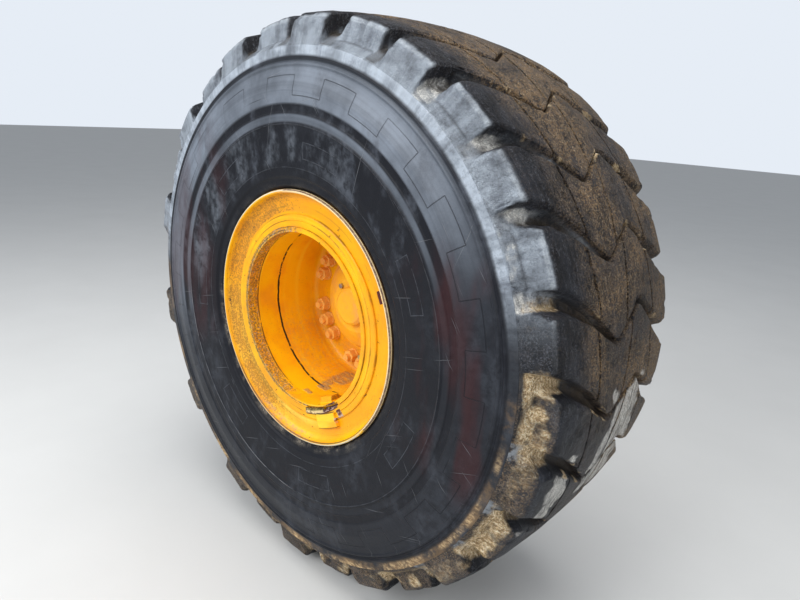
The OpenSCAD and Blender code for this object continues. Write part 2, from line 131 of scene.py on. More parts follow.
def step_between(x, low, high):
    """Smooth step from 0 at low to 1 at high."""
    t = np.clip((x - low) / (high - low), 0, 1)
    return t * t * (3 - 2 * t)


def within(x, low, full, still, high):
    """Rises from 0 at low to 1 at full, and falls from 1 at still to 0 at high."""
    return step_between(x, low, full) * (1 - step_between(x, still, high))


def on_wheel(angle, radius, y):
    """Points in the row's frame from angles, radii and places from the wheel's centre plane."""
    return np.stack([radius * np.cos(angle), y + WHEEL_Y, radius * np.sin(angle)], axis=-1)


def new_mesh(name, points, faces, sharp_angle, masks=None):
    """A smooth mesh object with masks on its points for its material."""
    mesh = bpy.data.meshes.new(name)
    mesh.from_pydata(points.tolist(), [], faces.tolist())
    for key, values in (masks or {}).items():
        layer = mesh.attributes.new(key, "FLOAT", "POINT")
        layer.data.foreach_set("value", values.ravel().astype(np.float32))
    mesh.polygons.foreach_set("use_smooth", [True] * len(mesh.polygons))
    mesh.set_sharp_from_angle(angle=math.radians(sharp_angle))
    mesh.update()
    thing = bpy.data.objects.new(name, mesh)
    bpy.context.scene.collection.objects.link(thing)
    return thing


def ring_faces(rows, columns):
    """Quads of a grid of points whose columns close round the axle."""
    i, j = np.meshgrid(np.arange(rows - 1), np.arange(columns), indexing="ij")
    k = (j + 1) % columns
    return np.stack([i * columns + j, (i + 1) * columns + j, (i + 1) * columns + k, i * columns + k],
                    axis=-1).reshape(-1, 4)


def arc_points(centre_r, centre_y, radius, a0, a1, steps):
    a = np.radians(np.linspace(a0, a1, steps + 1))
    return [(centre_r + radius * math.cos(t), centre_y + radius * math.sin(t)) for t in a]


def rounded(points, size, steps):
    """Rounds the corners of a profile, each by an arc-like blend that starts size from the corner."""
    out = [points[0]]
    for before, corner, after in zip(points, points[1:], points[2:]):
        before, corner, after = (np.array(p, float) for p in (before, corner, after))
        lead = min(size, 0.45 * np.linalg.norm(before - corner))
        tail = min(size, 0.45 * np.linalg.norm(after - corner))
        start = corner + (before - corner) / np.linalg.norm(before - corner) * lead
        end = corner + (after - corner) / np.linalg.norm(after - corner) * tail
        for t in np.linspace(0, 1, steps + 1):
            out.append(tuple((1 - t) ** 2 * start + 2 * t * (1 - t) * corner + t * t * end))
    out.append(points[-1])
    return out


def ridge(r, y, h, w):
    """A moulded ring h high and w wide at a radius of r."""
    return [(r - w / 2 - 0.003, y), (r - w / 2, y - h), (r + w / 2, y - h + 0.001),
            (r + w / 2 + 0.003, y + 0.002)]


# Tyre casing: both sidewalls, the beads and the air chamber
def crown_at(y):
    return TYRE_R - y * y / (2 * CROWN_R)


def floor_at(y):
    deepening = (SHOULDER_DEPTH - GROOVE_DEPTH) * np.minimum(abs(y) / TREAD_HALF_W, 1) ** 2
    return crown_at(y) - GROOVE_DEPTH - deepening


def sidewall_profile():
    """From the bead's heel up the outside to the edge of the shoulder ledge."""
    s, rim, flange = SECTION_HALF_W, -RIM_HALF_W, -RIM_HALF_W - BEND
    rough = ([(SEAT_R - 0.0064, rim + 0.076), (SEAT_R - 0.0002, rim + 0.006), (SEAT_R + 0.008, rim + 0.0003)]
             + arc_points(LIP_R - BEND, flange, BEND + 0.0003, 90, 22.5, 8)
             + [(LIP_R + 0.002, flange + 0.006), (LIP_R + 0.012, flange - 0.003),
                (LIP_R + 0.030, flange - 0.003), (LIP_R + 0.038, -s + 0.014),
                (SECTION_R - 0.150, -s + 0.008), (SECTION_R - 0.105, -s + 0.004)]
             + ridge(SECTION_R - 0.062, -s + 0.001, 0.002, 0.004)
             + [(SECTION_R - 0.033, -s), (SECTION_R - 0.031, -s + 0.002), (SECTION_R - 0.010, -s + 0.002),
                (SECTION_R - 0.008, -s), (SECTION_R + 0.030, -s + 0.0012), (LEDGE_R - 0.090, -s + 0.007)]
             + ridge(LEDGE_R - 0.048, -s + 0.014, 0.004, 0.006)
             + ridge(LEDGE_R - 0.032, -s + 0.017, 0.004, 0.006)
             + [(LEDGE_R - 0.012, -s + 0.0195), (LEDGE_R, -s + 0.021)])
    return rounded(rough, 0.003, 2)


def liner_profile():
    """The inside of the air chamber, from one bead to the other."""
    half = [(SEAT_R + 0.005, -RIM_HALF_W + 0.080), (LIP_R - 0.020, -RIM_HALF_W + 0.052),
            (SECTION_R - 0.170, -SECTION_HALF_W + 0.052), (SECTION_R, -SECTION_HALF_W + 0.034),
            (LEDGE_R - 0.050, -SECTION_HALF_W + 0.056), (0.810, -TREAD_HALF_W + 0.075), (0.832, -0.155)]
    return half + [(0.836, 0.0)] + [(r, -y) for r, y in reversed(half)]


def tyre_casing():
    outside = sidewall_profile()
    top = [(LEDGE_R + 0.004, -SECTION_HALF_W + 0.034), (0.822, -0.300), (0.840, -0.150), (0.845, 0.0)]
    top += [(r, -y) for r, y in reversed(top[:-1])]
    profile = np.array(outside + top + [(r, -y) for r, y in reversed(outside)] + liner_profile()[::-1])
    angle = np.linspace(0, 2 * math.pi, CASING_COLUMNS, endpoint=False)
    a, r = np.meshgrid(angle, profile[:, 0])
    y = np.repeat(profile[:, 1:], CASING_COLUMNS, axis=1)
    faces = ring_faces(len(profile) + 1, CASING_COLUMNS) % r.size
    return new_mesh("tyre_casing", on_wheel(a, r, y).reshape(-1, 3), faces, 50)


# Tread: one grid of points whose columns follow the grooves and whose rows run from one
# shoulder ledge over the tread to the other
def groove_at(y):
    """Lean, as an angle, and half width in metres of the main groove at places along the axle."""
    share = np.abs(y) / TREAD_HALF_W
    lean = np.interp(share, GROOVE_PATH[:, 0], GROOVE_PATH[:, 1])
    inner = GROOVE_PATH[0, 0]
    lean = np.where(share < inner, GROOVE_PATH[0, 1] * share / inner, lean)
    half = np.interp(share, GROOVE_PATH[:, 0], GROOVE_PATH[:, 2])
    return -np.sign(y) * lean * PITCH, half


# Rows of the shoulder, from its outer edge inwards.
# Columns: radius and place of a tall lug's face, of a short lug's face and of the groove's floor.
SHOULDER_ROWS = (
    (0.786, -0.346, 0.786, -0.346, 0.786, -0.346),
    (0.7985, -0.3545, 0.7985, -0.3545, 0.7985, -0.3545),
    (0.8030, -0.3545, 0.8035, -0.3515, 0.8030, -0.3520),
    (0.8110, -0.3520, 0.8075, -0.3465, 0.8055, -0.3485),
    (0.8230, -0.3492, 0.8125, -0.3400, 0.8090, -0.3440),
    (0.8350, -0.3465, 0.8180, -0.3330, 0.8130, -0.3390),
    (0.8470, -0.3440, 0.8225, -0.3265, 0.8170, -0.3340),
    (0.8560, -0.3422, 0.8265, -0.3222, 0.8210, -0.3290),
    (0.8625, -0.3408, 0.8360, -0.3196, 0.8250, -0.3240),
    (0.8665, -0.3392, 0.8480, -0.3182, 0.8285, -0.3190),
    (0.8705, -0.3362, 0.8600, -0.3168, 0.8315, -0.3140),
    (0.8750, -0.3325, 0.8705, -0.3155, 0.8335, -0.3095),
    (0.8795, -0.3285, 0.8780, -0.3138, 0.8350, -0.3055),
    (0.8835, -0.3235, 0.8830, -0.3108, 0.8365, -0.3020),
    (0.8865, -0.3175, 0.8868, -0.3065, 0.8378, -0.2985),
    (0.8885, -0.3100, 0.8893, -0.3015, 0.8390, -0.2950),
)
LEDGE_ROWS = 7               # the outer ones, which lie on the ledge and have no edge that chips


def tread_rows():
    """Rows across the tread: tall face, short face, groove floor, depth of cut and lean of cut."""
    shoulder = [np.array(row).reshape(3, 2) for row in SHOULDER_ROWS]
    places = {at + d * CUT_W / 2 / TREAD_HALF_W: cut for at, _ in BLOCK_CUTS for d, cut in CUT_PROFILE}
    for s in PLAIN_ROWS:
        places[s] = places[-s] = 0.0
    ordered = []
    for s in sorted(places):
        if not ordered or s - ordered[-1] >= ROW_GAP or places[s] or places[ordered[-1]]:
            ordered.append(s)
    rows = [(*row, 0.0, 0.0) for row in shoulder]
    for s in ordered:
        y = s * TREAD_HALF_W
        lean = sum(slope * np.clip(1 - (abs(s - at) - 0.03) / 0.14, 0, 1) for at, slope in BLOCK_CUTS)
        top = np.array((crown_at(y), y))
        rows.append((top, top, np.array((floor_at(y), y)), places[s], lean))
    return rows + [(*(row * (1, -1)), 0.0, 0.0) for row in shoulder[::-1]]


# Columns of one pitch, from the middle of a groove over the block to the next one.
# Each is a share of the groove's half width on its steep and on its gentle side, and a height.
STEEP_SIDE = np.array(((0.40, 0.0), (0.66, 0.03), (0.76, 0.30), (0.84, 0.62), (0.91, 0.88), (0.98, 0.97)))
GENTLE_SIDE = np.array(((0.10, 0.0), (0.30, 0.07), (0.50, 0.24), (0.68, 0.50), (0.84, 0.78), (0.97, 0.95)))
BLOCK_COLUMNS = 16


def tread_grid():
    """Angles, radii, places and heights of the tread's points, and which are on short lugs."""
    rows = tread_rows()
    steps = range(len(STEEP_SIDE))
    pitch = ([("groove", 0)] + [("first", k) for k in steps]
             + [("block", u) for u in np.linspace(0.03, 0.97, BLOCK_COLUMNS)]
             + [("last", k) for k in steps[::-1]])
    kind = np.array([c[0] for c in pitch] * PITCHES)
    value = np.array([c[1] for c in pitch] * PITCHES, float)
    block = np.repeat(np.arange(PITCHES), len(pitch))
    kinds = [kind == "groove", kind == "first", kind == "last"]
    wall = np.where(kind == "block", 0, value).astype(int)
    angle, height, radius, place, short_lug = np.zeros((5, len(rows), len(kind)))
    edge = EDGE_ROUND / TYRE_R
    for i, (tall, short, low, cut, lean) in enumerate(rows):
        y = 0.5 * (tall[1] + low[1])
        shift = lean * (2 * np.where(kind == "block", value, kinds[2]) - 1)
        g, half = groove_at(y + shift)
        half_angle = half / TYRE_R
        start = block * PITCH + g
        end = start + PITCH
        # The gentle wall lies below each groove on the outer half of the tread and above it beyond.
        before, after = (STEEP_SIDE, GENTLE_SIDE) if y < 0 else (GENTLE_SIDE, STEEP_SIDE)
        (share, h), (last_share, last_h) = before[wall].T, after[wall].T
        a, b = start + half_angle + edge, end - half_angle - edge
        first = start + share * half_angle + edge * (h > 0.9)
        last = end - last_share * half_angle - edge * (last_h > 0.9)
        angle[i] = np.select(kinds, (start, first, last), a + (b - a) * value)
        height[i] = np.select(kinds, (0.0 * h, h, last_h), 1.0)
        short_lug[i] = block % 2 == (0 if y < 0 else 1)
        high_r = np.where(short_lug[i], short[0], tall[0]) - cut * CUT_DEPTH
        high_y = np.where(short_lug[i], short[1], tall[1])
        radius[i] = low[0] + height[i] * (high_r - low[0])
        place[i] = low[1] + height[i] * (high_y - low[1]) + shift
    return angle + TREAD_PHASE, radius, place, height, short_lug


def grid_normals(points):
    """Normals of a grid of points that closes round its columns, pointing away from the axle."""
    along = np.roll(points, -1, axis=1) - np.roll(points, 1, axis=1)
    across = np.gradient(points, axis=0)
    n = np.cross(along, across)
    n /= np.maximum(np.linalg.norm(n, axis=-1, keepdims=True), 1e-9)
    out = points - np.array([0, WHEEL_Y, 0])
    flip = np.sign(np.sum(n * out, axis=-1, keepdims=True))
    return n * np.where(flip == 0, 1, flip)


def tread_masks(points, normals, angle, radius, place, height, short_lug):
    """How much of each kind of dirt or wear lies on the tread's points, each from 0 to 1."""
    degrees = (np.degrees(angle) + 180) % 360 - 180
    outer = place < 0
    sideways = np.abs(normals[..., 1])
    across = np.abs(place)

    def between(low, high, soft):
        """1 between two angles, fading out over soft degrees on each side."""
        return within(degrees, low - soft, low, high, high + soft)

    def patches(scale, seed, low, high):
        return step_between(cloud(points, scale, 3, seed), low, high)

    # Sides of the lugs; they get painted silver sheen with grey dust where they look up.
    face = step_between(sideways, 0.45, 0.8) * (1 - step_between(radius, 0.882, 0.89))
    apron = step_between(across, 0.322, 0.332) * (1 - step_between(radius, 0.826, 0.838))
    face = np.maximum(face, 0.9 * (apron * (0.4 + 0.6 * height)))
    # Ledges before the short lugs and mouths of the grooves hold dirt.
    mouth = step_between(across, 0.235, 0.285) * (1 - step_between(height, 0.2, 0.6))
    ledge = (step_between(across, 0.312, 0.325) * (1 - step_between(radius, 0.815, 0.834))
             * step_between(radius, 0.797, 0.803) * np.maximum(short_lug, 1 - height))
    low_place = np.maximum(mouth, ledge)
    clay_here = between(-62, 14, 7) + 0.7 * between(-180, -62, 7) + 0.3 * between(150, 180, 10)
    clay_here = np.minimum(np.where(outer, clay_here, 0.5), 1)
    clay = low_place * clay_here * (0.35 + 0.65 * patches(0.1, 61, 0.3, 0.6))
    clay = clay * step_between(radius, 0.8, 0.816)
    smear = within(radius, 0.806, 0.822, 0.866, 0.886) * step_between(across, 0.3, 0.32)
    smear = smear * clay_here * np.where(short_lug > 0, 0.95, 0.4) * patches(0.08, 62, 0.34, 0.6)
    clay = np.maximum(clay, smear)
    # Small pale bits stick to the groove's edges near the middle of the tread.
    brink = within(height, 0.15, 0.45, 0.96, 1.0) * (1 - step_between(across, 0.2, 0.26))
    clay = np.maximum(clay, 0.7 * brink * patches(0.035, 67, 0.56, 0.72))
    # Pale dust in the mouths and ledges, partly painted highlight at the mouths' corners.
    rough_dust = np.where(outer, between(16, 62, 6), 0.4 * between(14, 160, 5))
    pale = 0.6 * low_place * rough_dust * (0.3 + 0.7 * patches(0.05, 63, 0.35, 0.65))
    # A pale spill with a torn edge lies on the tops of the blocks, low on the right.
    top = step_between(height, 0.85, 0.98) * (1 - step_between(sideways, 0.25, 0.5))
    torn_place = place + 0.16 * (cloud(points, 0.09, 4, 71) - 0.5)
    degrees = degrees + 9 * (cloud(points, 0.08, 4, 72) - 0.5)
    cement = (between(-20, -2, 3) * step_between(torn_place, -0.075, -0.045)
              * (1 - step_between(torn_place, 0.12, 0.16))
              + between(-22, -10, 3) * step_between(torn_place, -0.295, -0.27)
              * (1 - step_between(torn_place, -0.2, -0.17)))
    pale = np.maximum(pale, top * np.minimum(cement, 1) * (0.62 + 0.38 * patches(0.07, 64, 0.36, 0.58)))
    dust = (0.06 + 0.94 * step_between(place, -0.27, -0.15)) * (0.3 + 0.7 * patches(0.16, 65, 0.3, 0.62))
    dust = dust * np.where(outer, 0.2 + 0.8 * between(10, 180, 20), 1.0)
    dust = np.maximum(dust, 0.8 * step_between(place, 0.2, 0.27) * height)
    dust = np.maximum(dust, face * np.where(outer, 0.55 * (1 - between(10, 150, 20)), 0.95))
    # Painted highlights where the mouths run out into the apron.
    bright = mouth * step_between(sideways, 0.2, 0.55) * between(-62, 40, 8) * patches(0.05, 66, 0.4, 0.58)
    return {"height": height, "face": face, "clay": clay, "pale": pale, "dust": dust, "bright": bright}


def kept_inside(points):
    """Holds points inside the CAD tyre's outline."""
    x, y, z = points[..., 0], points[..., 1], points[..., 2]
    shrink = np.minimum(1.0, (TYRE_R - INSIDE_GAP) / np.hypot(x, z))
    return np.stack([x * shrink, y, z * shrink], axis=-1)


def tyre_tread():
    angle, radius, place, height, short_lug = tread_grid()
    points = on_wheel(angle, radius, place)
    n_rows, n_cols = angle.shape
    normals = grid_normals(points)
    masks = tread_masks(points, normals, angle, radius, place, height, short_lug)
    edge = np.exp(-((height - 0.95) / 0.05) ** 2)
    row_edge, hold = np.zeros((n_rows, 1)), np.ones((n_rows, 1))
    row_edge[LEDGE_ROWS:len(SHOULDER_ROWS)] = row_edge[-len(SHOULDER_ROWS):-LEDGE_ROWS] = 1
    hold[:2] = hold[-2:] = 0
    swell = 0.0022 * (cloud(points, 0.03, 3, 3) - 0.5) + 0.003 * (cloud(points, 0.11, 2, 8) - 0.5)
    chips = -0.007 * step_between(cloud(points, 0.022, 2, 31), 0.5, 0.78)
    chips = chips * np.maximum(edge, 0.6 * row_edge * height)
    lumps = 0.0065 * masks["clay"] * step_between(cloud(points, 0.035, 3, 51), 0.35, 0.75)
    points = kept_inside(points + normals * ((swell + chips + lumps) * hold)[..., None])
    return new_mesh("tyre_tread", points.reshape(-1, 3), ring_faces(n_rows, n_cols), 36, masks)


# Materials
class Surface:
    """A material whose inputs are built from short calls, each of which gives a node's output."""

    def __init__(self, name, **fixed):
        self.material = bpy.data.materials.new(name)
        self.material.use_nodes = True
        self.tree = self.material.node_tree
        self.shader = self.tree.nodes["Principled BSDF"]
        for key, value in fixed.items():
            self.shader.inputs[key.replace("_", " ")].default_value = value
        self.point = self.put("TexCoord").outputs["Object"]
        self.x, self.y, self.z = self.put("SeparateXYZ", self.point).outputs
        self.radius = self.math("SQRT", self.plus(self.times(self.x, self.x), self.times(self.z, self.z)))
        self.angle = self.math("ARCTAN2", self.z, self.x)
        self.colour = self.bumps = None

    def put(self, kind, *values, **settings):
        """A node of a kind, with values or other nodes' outputs for its first inputs."""
        node = self.tree.nodes.new("ShaderNode" + kind)
        for key, value in settings.items():
            setattr(node, key, value)
        for socket, value in zip(node.inputs, values):
            self.wire(socket, value)
        return node

    def wire(self, socket, value):
        if isinstance(value, bpy.types.NodeSocket):
            self.tree.links.new(value, socket)
        elif value is not None:
            socket.default_value = (*value, 1) if socket.type == "RGBA" else value

    def math(self, operation, a, b=None):
        return self.put("Math", a, b, operation=operation).outputs[0]

    def chain(self, operation, first, *rest):
        for other in rest:
            first = self.math(operation, first, other)
        return first

    times = partialmethod(chain, "MULTIPLY")
    plus = partialmethod(chain, "ADD")
    most = partialmethod(chain, "MAXIMUM")

    def inverse(self, a):
        return self.math("SUBTRACT", 1.0, a)

    def step(self, value, low, high, start=0.0, end=1.0):
        """Smooth step from start, where value is low, to end, where it is high."""
        return self.put("MapRange", value, low, high, start, end,
                        interpolation_type="SMOOTHSTEP").outputs[0]

    def away(self, value, at):
        """How far value is from at."""
        return self.math("ABSOLUTE", self.math("SUBTRACT", value, at))

    def near(self, value, at, half, soft):
        return self.step(self.away(value, at), half + soft, half)

    def ring(self, at, half, soft):
        """1 within half of a radius, fading out over soft."""
        return self.near(self.radius, at, half, soft)

    def annulus(self, low, full, still, high):
        """Rises from a radius of low to full and falls from still to high."""
        return self.times(self.step(self.radius, low, full), self.step(self.radius, high, still))

    def towards(self, degrees, half, soft):
        """1 on the part of the wheel within half degrees of an angle."""
        turn = self.math("COSINE", self.math("SUBTRACT", self.angle, math.radians(degrees)))
        return self.step(turn, math.cos(math.radians(min(half + soft, 180))), math.cos(math.radians(half)))

    def moved(self, seed, stretch):
        shift = (1.7 * seed, -2.3 * seed, 0.9 * seed)
        return self.put("Mapping", self.point, shift, None, stretch).outputs[0]

    def noise(self, scale, seed, detail=3, rough=0.55, stretch=(1, 1, 1), at=None):
        return self.put("TexNoise", at or self.moved(seed, stretch), None, scale, detail,
                        rough).outputs[0]

    def swing(self, noise, amount):
        """Noise made to swing about zero, times amount."""
        return self.times(self.math("SUBTRACT", noise, 0.5), amount)

    def shifted(self, *shift):
        both = self.put("CombineXYZ", *shift).outputs[0]
        return self.put("VectorMath", both, self.point, operation="ADD").outputs[0]

    def round_about(self, across):
        """Coordinates that change fast with radius and place and slowly round the wheel."""
        return self.shifted(self.times(self.radius, across), self.times(self.y, across))

    def outwards(self, around):
        """Coordinates that change fast round the wheel and slowly along the radius."""
        return self.shifted(self.times(self.math("COSINE", self.angle), around),
                            self.times(self.math("SINE", self.angle), around), self.times(self.y, 3.0))

    def mask(self, name):
        return self.put("Attribute", attribute_name=name).outputs["Fac"]

    def broken(self, mask, noise, ragged, soft):
        """A mask whose edge is torn by noise."""
        moved = self.plus(mask, self.swing(noise, ragged))
        return self.times(self.step(moved, 0.5 - soft, 0.5 + soft), self.step(mask, 0.0, 0.06))

    def mix(self, amount, a, b):
        node = self.put("Mix", data_type="RGBA")
        for index, value in ((0, amount), (6, a), (7, b)):
            self.wire(node.inputs[index], value)
        return node.outputs[2]

    def paint(self, colour, *masks):
        """Lays a colour over what is there, as far as all the masks let it show."""
        self.colour = self.mix(self.times(*masks), self.colour, colour)

    def level(self, amount, a, b):
        return self.put("MapRange", amount, 0.0, 1.0, a, b).outputs[0]

    def bump(self, height, distance):
        node = self.put("Bump")
        self.wire(node.inputs["Height"], height)
        self.wire(node.inputs["Distance"], distance)
        if self.bumps:
            self.wire(node.inputs["Normal"], self.bumps)
        self.bumps = node.outputs[0]

    def done(self, roughness, **others):
        self.wire(self.shader.inputs["Base Color"], self.colour)
        self.wire(self.shader.inputs["Roughness"], roughness)
        for key, value in others.items():
            self.wire(self.shader.inputs[key.replace("_", " ")], value)
        if self.bumps:
            self.wire(self.shader.inputs["Normal"], self.bumps)
        return self.material


RUBBER = (0.0105, 0.0115, 0.0155)
# Grey of the painted sky sheen and the dust on the sidewall's belly
SHEEN_AND_DUST_GREY = (0.215, 0.25, 0.305)
SILVER = (0.37, 0.42, 0.485)
SILVER_SHADE = (0.185, 0.211, 0.253)
MAROON = (0.05, 0.012, 0.012)
DUST = (0.305, 0.184, 0.078)
CLAY = (0.8, 0.58, 0.32)
PALE_DUST_AND_HIGHLIGHT = (0.8, 0.785, 0.74)


def silver_sheen_and_dust(s):
    """How much painted silver sheen, a sky reflection with grey dust, lies on the shoulder, and the colour
    there.
    """
    streak = s.noise(1, 4, 4, 0.6, at=s.outwards(30.0))
    patch = s.noise(14, 30, 3, 0.6)
    amount = s.times(s.step(streak, 0.28, 0.6, 0.6, 1), s.step(patch, 0.3, 0.56, 0.55, 1),
                     s.level(s.towards(95, 70, 16), 0.05, 1))
    # On the right the painted silver sheen is broken up.
    torn = s.times(s.towards(18, 22, 22), s.step(s.noise(95, 66, 4, 0.75), 0.48, 0.6))
    amount = s.times(amount, s.level(torn, 1.0, 0.74))
    dots = s.times(s.step(s.noise(210, 67, 3, 0.75), 0.55, 0.63), s.step(patch, 0.4, 0.56))
    grain = s.plus(s.times(s.noise(16, 3, 5, 0.65), 0.7),
                   s.times(s.noise(1, 35, 4, 0.7, at=s.outwards(70.0)), 0.3))
    silver = s.mix(s.step(grain, 0.47, 0.68), SILVER, SILVER_SHADE)
    return amount, s.mix(s.times(dots, 0.22), silver, (0.6, 0.62, 0.64))


def scratches(s, seed, share):
    """Thin straight scratches: a few cells of three drawn out patterns hold a short dash each."""
    found = []
    for k, (turn, length, width) in enumerate(((17, 0.12, 0.003), (74, 0.34, 0.0036), (128, 0.07, 0.0028))):
        c, d = math.cos(math.radians(turn)), math.sin(math.radians(turn))
        along = s.plus(s.times(s.x, c / length), s.times(s.z, d / length), seed + 3.3 * k)
        over = s.plus(s.times(s.x, -d / width), s.times(s.z, c / width),
                      s.times(s.noise(1.6, seed + k, 1), 30.0))
        at = s.put("CombineXYZ", along, over).outputs[0]
        cell = s.put("TexVoronoi", at, None, 1.0, voronoi_dimensions="2D")
        pick = s.put("SeparateXYZ", cell.outputs["Color"]).outputs[0]
        found.append(s.times(s.step(cell.outputs["Distance"], 0.42, 0.12),
                             s.step(pick, 1 - share, 1 - 0.4 * share)))
    return s.most(*found)


def meander(s, low, high, repeats, width):
    """A fine line that runs round the sidewall and steps between two radii."""
    turn = s.math("FRACT", s.times(s.angle, repeats / (2 * math.pi)))
    second = s.math("GREATER_THAN", turn, 0.5)
    place = s.level(second, low, high)
    rounds = s.step(s.away(s.radius, place), width, 0.4 * width)
    from_step = s.away(s.math("FRACT", s.times(turn, 2.0)), 0.5)
    gap = s.times(s.math("SUBTRACT", 0.5, from_step), math.pi * 0.7 / repeats)
    risers = s.times(s.step(gap, width, 0.4 * width), s.ring((low + high) / 2, (high - low) / 2, 0.0005))
    return s.most(rounds, risers)


def panels(s, low, high, repeats, share, width):
    """Outlines of plain moulded panels set round the sidewall between two radii."""
    turn = s.away(s.math("FRACT", s.times(s.angle, repeats / (2 * math.pi))), 0.5)
    across = s.times(s.math("SUBTRACT", turn, share), 2 * math.pi * 0.5 * (low + high) / repeats)
    radial = s.math("SUBTRACT", s.away(s.radius, (low + high) / 2), (high - low) / 2)
    return s.step(s.math("ABSOLUTE", s.math("MAXIMUM", across, radial)), width, 0.4 * width)


def sidewall_rubber():
    s = Surface("sidewall_rubber")
    grain = s.noise(260, 1, 3, 0.7)
    patch = s.noise(5, 2, 4, 0.6)
    fine = s.noise(34, 3, 4, 0.65)
    rounds = s.noise(1, 12, 4, 0.6, at=s.round_about(40.0))
    upper = s.towards(110, 54, 44)
    outside = s.step(s.y, -0.55, -0.6)
    # The belly of the sidewall gets a painted sky sheen with grey dust in a patchy film, most where it looks
    # up.
    belly = s.annulus(0.642, 0.652, 0.742, 0.772)
    ring = s.annulus(0.594, 0.602, 0.614, 0.622)
    sheen = s.times(s.most(belly, s.times(ring, 0.75)), s.step(patch, 0.3, 0.62, 0.55, 1),
                    s.level(upper, 0.05, 1), s.step(rounds, 0.35, 0.65, 0.7, 1))
    s.colour = s.mix(s.times(sheen, s.level(fine, 0.55, 1)), RUBBER, SHEEN_AND_DUST_GREY)
    s.paint((0.05, 0.056, 0.07), s.step(s.noise(3.2, 5, 5, 0.6), 0.46, 0.72), s.step(fine, 0.35, 0.65), 0.5)
    # Soft lighter smudges and runs on the inner part of the sidewall, stronger towards the top as painted
    # sheen.
    s.paint((0.07, 0.079, 0.098), s.step(s.noise(6.5, 14, 5, 0.62, stretch=(1.6, 1, 0.8)), 0.5, 0.66),
            s.step(fine, 0.3, 0.62), s.step(s.radius, 0.44, 0.48), s.level(upper, 0.3, 0.8))
    # A soft glare where it looks at the sky.
    s.paint((0.13, 0.146, 0.172), s.towards(122, 42, 30), s.ring(0.535, 0.042, 0.03), s.step(fine, 0.25, 0.6),
            s.step(s.noise(1, 16, 5, 0.65, stretch=(13, 2, 7)), 0.42, 0.7), 0.8)
    # Reddish stains in long vertical runs.
    red_runs = s.step(s.noise(1, 6, 3, 0.5, stretch=(9, 3, 2)), 0.46, 0.62)
    red_place = s.most(s.towards(4, 20, 12), s.times(s.towards(165, 24, 18), 0.8))
    s.paint(MAROON, red_runs, red_place, s.step(s.radius, 0.43, 0.5), s.step(s.radius, 0.775, 0.735), outside,
            s.level(fine, 0.45, 1), 0.65)
    # The apron under the tread lugs gets painted silver sheen, a sky reflection, with grey dust in radial
    # streaks.
    amount, silver = silver_sheen_and_dust(s)
    apron = s.step(s.radius, 0.77, 0.78)
    apron_sheen_and_dust = s.times(apron, amount)
    s.paint(silver, apron_sheen_and_dust)
    # Dust and clay lie on the apron away from the top.
    s.paint(DUST, apron, s.step(s.noise(9, 17, 5, 0.7), 0.4, 0.66),
            s.inverse(s.towards(90, 78, 14)), 0.45)
    clay_place = s.most(s.times(s.ring(0.786, 0.003, 0.009), s.towards(-38, 20, 14), 0.8),
                        s.times(s.step(s.radius, 0.768, 0.798), s.towards(-100, 44, 22)))
    straw = s.noise(1, 28, 4, 0.75, stretch=(60, 260, 130))
    clay = s.times(clay_place, s.step(s.noise(8, 7, 5, 0.7), 0.46, 0.62), s.step(straw, 0.32, 0.54, 0.5, 1))
    s.paint(s.mix(s.step(straw, 0.4, 0.6), (0.36, 0.23, 0.12), CLAY), clay, 0.7)
    marks = s.times(scratches(s, 11, 0.01), s.step(s.radius, 0.44, 0.47), s.step(s.radius, 0.76, 0.75))
    s.paint((0.22, 0.23, 0.25), marks, 0.4)
    # Dried dirt in the corner between the tyre and the rim's lip.
    s.paint((0.33, 0.285, 0.225), s.step(s.radius, 0.44, 0.412), s.level(s.towards(-115, 50, 30), 0.15, 1),
            s.step(s.noise(22, 13, 4, 0.7), 0.42, 0.66), s.step(grain, 0.46, 0.58, 0.25, 1), outside, 0.8)
    # A scuffed arc, the stepped line and the panels and rings of the mould.
    s.paint((0.36, 0.37, 0.39), s.ring(0.5935, 0.0008, 0.0014), s.towards(225, 38, 10),
            s.step(s.noise(20, 8, 2), 0.36, 0.52), 0.8)
    lines = s.times(meander(s, 0.668, 0.722, 18, 0.0018), s.step(s.noise(3, 9, 2), 0.34, 0.46))
    s.paint(RUBBER, lines, 0.65)
    mould = s.most(panels(s, 0.5, 0.546, 7, 0.16, 0.0016), s.times(s.ring(0.5905, 0.0006, 0.001), 0.7),
                   s.times(s.ring(0.47, 0.0006, 0.001), 0.7))
    s.paint((0.095, 0.105, 0.125), mould, s.step(fine, 0.3, 0.6), 0.6)
    rough = s.level(s.plus(s.times(sheen, 0.4), s.times(fine, 0.6)), 0.34, 0.54)
    rough = s.level(s.most(clay, s.times(apron_sheen_and_dust, 0.3)), rough, 0.9)
    s.bump(lines, -0.0012)
    s.bump(mould, 0.0012)
    s.bump(s.plus(s.times(grain, 0.5), fine), 0.0009)
    s.bump(marks, -0.0006)
    s.bump(clay, 0.002)
    return s.done(rough, Specular_IOR_Level=s.level(s.most(sheen, apron_sheen_and_dust), 0.12, 0.45))


